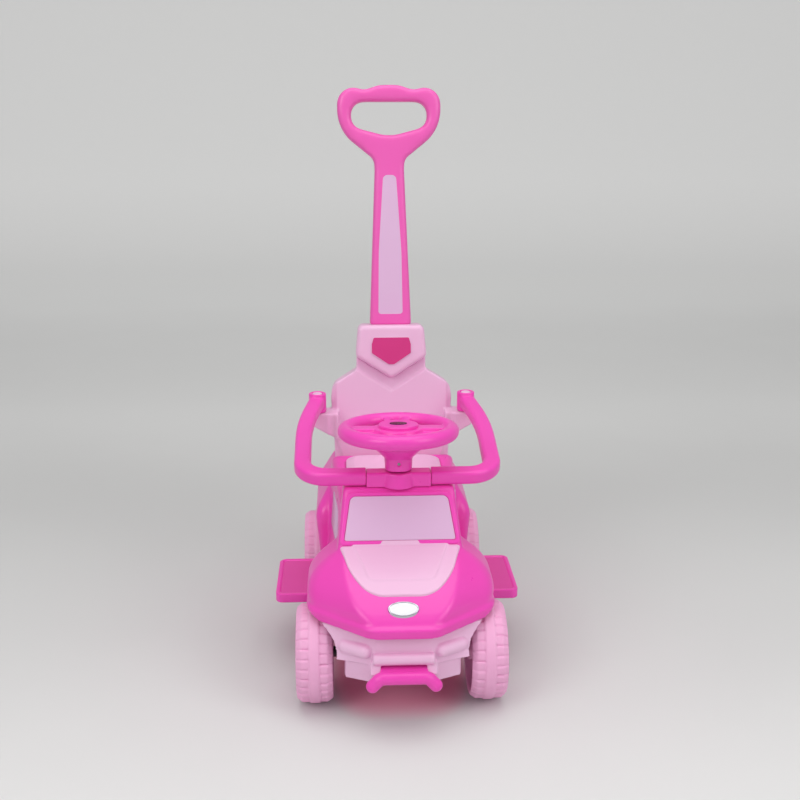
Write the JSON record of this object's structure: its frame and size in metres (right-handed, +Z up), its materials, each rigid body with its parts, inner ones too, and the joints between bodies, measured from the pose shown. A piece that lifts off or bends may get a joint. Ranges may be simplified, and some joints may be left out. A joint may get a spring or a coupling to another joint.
{
  "type": "push car with handle",
  "caption": "Foot-to-floor push car for a toddler with a steering wheel, guard arms, backrest, footrests and a tall removable push handle at the back.",
  "frame": {"origin": "on the ground under the middle of the car's length and width", "axes": "+Z up, -Y towards the front of the car, +X towards the car's own left side"},
  "size_m": [0.388, 0.604, 0.8997],
  "materials": {
    "strong_pink": "satin moulded plastic",
    "pale_pink": "satin moulded plastic",
    "lilac_film": "printed film, left bare",
    "crimson_plate": "glossy plate, left bare",
    "white_plate": "glossy plate, left bare",
    "dark_plate": "glossy plate, left bare",
    "black_plastic": "matt moulded plastic",
    "steel": "plain zinc-plated steel"
  },
  "bodies": {
    "car": {"body_shell": "strong_pink", "bull_bar": "strong_pink", "dash_bracket": "strong_pink", "footrest_left": "strong_pink", "footrest_right": "strong_pink", "lower_body": "pale_pink", "front_bumper": "pale_pink", "hood_panel": "pale_pink", "backrest": "pale_pink", "backrest_cover": "pale_pink", "headrest": "pale_pink", "windscreen_panel": "lilac_film", "side_panel_left": "lilac_film", "side_panel_right": "lilac_film", "shield_badge": "crimson_plate", "oval_badge": "white_plate", "rear_spacers": "black_plastic", "rear_axle": "steel", "axle_nut_rear_left": "steel", "axle_nut_rear_right": "steel", "body_screws": "steel", "bumper_screws": "steel", "footrest_screws": "steel", "backrest_screws": "steel", "dash_screws": "steel"},
    "steering": {"steering_wheel": "strong_pink", "steering_hub_cover": "strong_pink", "steering_badge": "dark_plate", "steering_column": "steel", "column_screw": "steel"},
    "tie_rod": {"tie_rod": "black_plastic"},
    "seat_lid": {"seat_lid": "pale_pink"},
    "push_handle": {"push_handle": "strong_pink", "handle_decal": "lilac_film"},
    "knuckle_left": {"knuckle_left": "black_plastic", "kingpin_clip_left": "steel", "axle_nut_front_left": "steel"},
    "front_wheel_left": {"wheel_front_left": "pale_pink", "hub_cap_front_left": "pale_pink"},
    "rear_wheel_left": {"wheel_rear_left": "pale_pink", "hub_cap_rear_left": "pale_pink"},
    "guard_arm_left": {"guard_arm_left": "strong_pink"},
    "knuckle_right": {"knuckle_right": "black_plastic", "kingpin_clip_right": "steel", "axle_nut_front_right": "steel"},
    "front_wheel_right": {"wheel_front_right": "pale_pink", "hub_cap_front_right": "pale_pink"},
    "rear_wheel_right": {"wheel_rear_right": "pale_pink", "hub_cap_rear_right": "pale_pink"},
    "guard_arm_right": {"guard_arm_right": "strong_pink"}
  },
  "joints": [
    {"name": "steer", "type": "hinge", "parent": "car", "child": "steering", "pos_m": [0, -0.102, 0.336], "axis": [0, 0.0698, 0.9976], "range_deg": [-42, 42]},
    {"name": "tie_rod_shift", "type": "slide", "parent": "car", "child": "tie_rod", "axis": [1, 0, 0], "range_m": [-0.0155, 0.0155]},
    {"name": "kingpin_left", "type": "hinge", "parent": "car", "child": "knuckle_left", "pos_m": [0.086, -0.178, 0.1], "axis": [0, 0, 1], "range_deg": [-11, 11]},
    {"name": "front_spin_left", "type": "hinge", "parent": "knuckle_left", "child": "front_wheel_left", "pos_m": [0.129, -0.178, 0.075], "axis": [1, 0, 0], "continuous": true},
    {"name": "rear_spin_left", "type": "hinge", "parent": "car", "child": "rear_wheel_left", "pos_m": [0.129, 0.212, 0.075], "axis": [1, 0, 0], "continuous": true},
    {"name": "guard_swing_left", "type": "hinge", "parent": "car", "child": "guard_arm_left", "pos_m": [0.128, 0.161, 0.371], "axis": [0, 0, 1], "range_deg": [0, 75]},
    {"name": "kingpin_right", "type": "hinge", "parent": "car", "child": "knuckle_right", "pos_m": [-0.086, -0.178, 0.1], "axis": [0, 0, 1], "range_deg": [-11, 11]},
    {"name": "front_spin_right", "type": "hinge", "parent": "knuckle_right", "child": "front_wheel_right", "pos_m": [-0.129, -0.178, 0.075], "axis": [1, 0, 0], "continuous": true},
    {"name": "rear_spin_right", "type": "hinge", "parent": "car", "child": "rear_wheel_right", "pos_m": [-0.129, 0.212, 0.075], "axis": [1, 0, 0], "continuous": true},
    {"name": "guard_swing_right", "type": "hinge", "parent": "car", "child": "guard_arm_right", "pos_m": [-0.128, 0.161, 0.371], "axis": [0, 0, -1], "range_deg": [0, 75]},
    {"name": "lid_lift", "type": "slide", "parent": "car", "child": "seat_lid", "axis": [0, 0, 1], "range_m": [0, 0.085]},
    {"name": "handle_lift", "type": "slide", "parent": "car", "child": "push_handle", "axis": [0, 0.1392, 0.9903], "range_m": [0, 0.14]}
  ],
  "couplings": [
    {"joint": "tie_rod_shift", "follows": "steer", "m_per_rad": -0.0205},
    {"joint": "kingpin_left", "follows": "steer", "ratio": 0.25626},
    {"joint": "kingpin_right", "follows": "steer", "ratio": 0.25626}
  ]
}
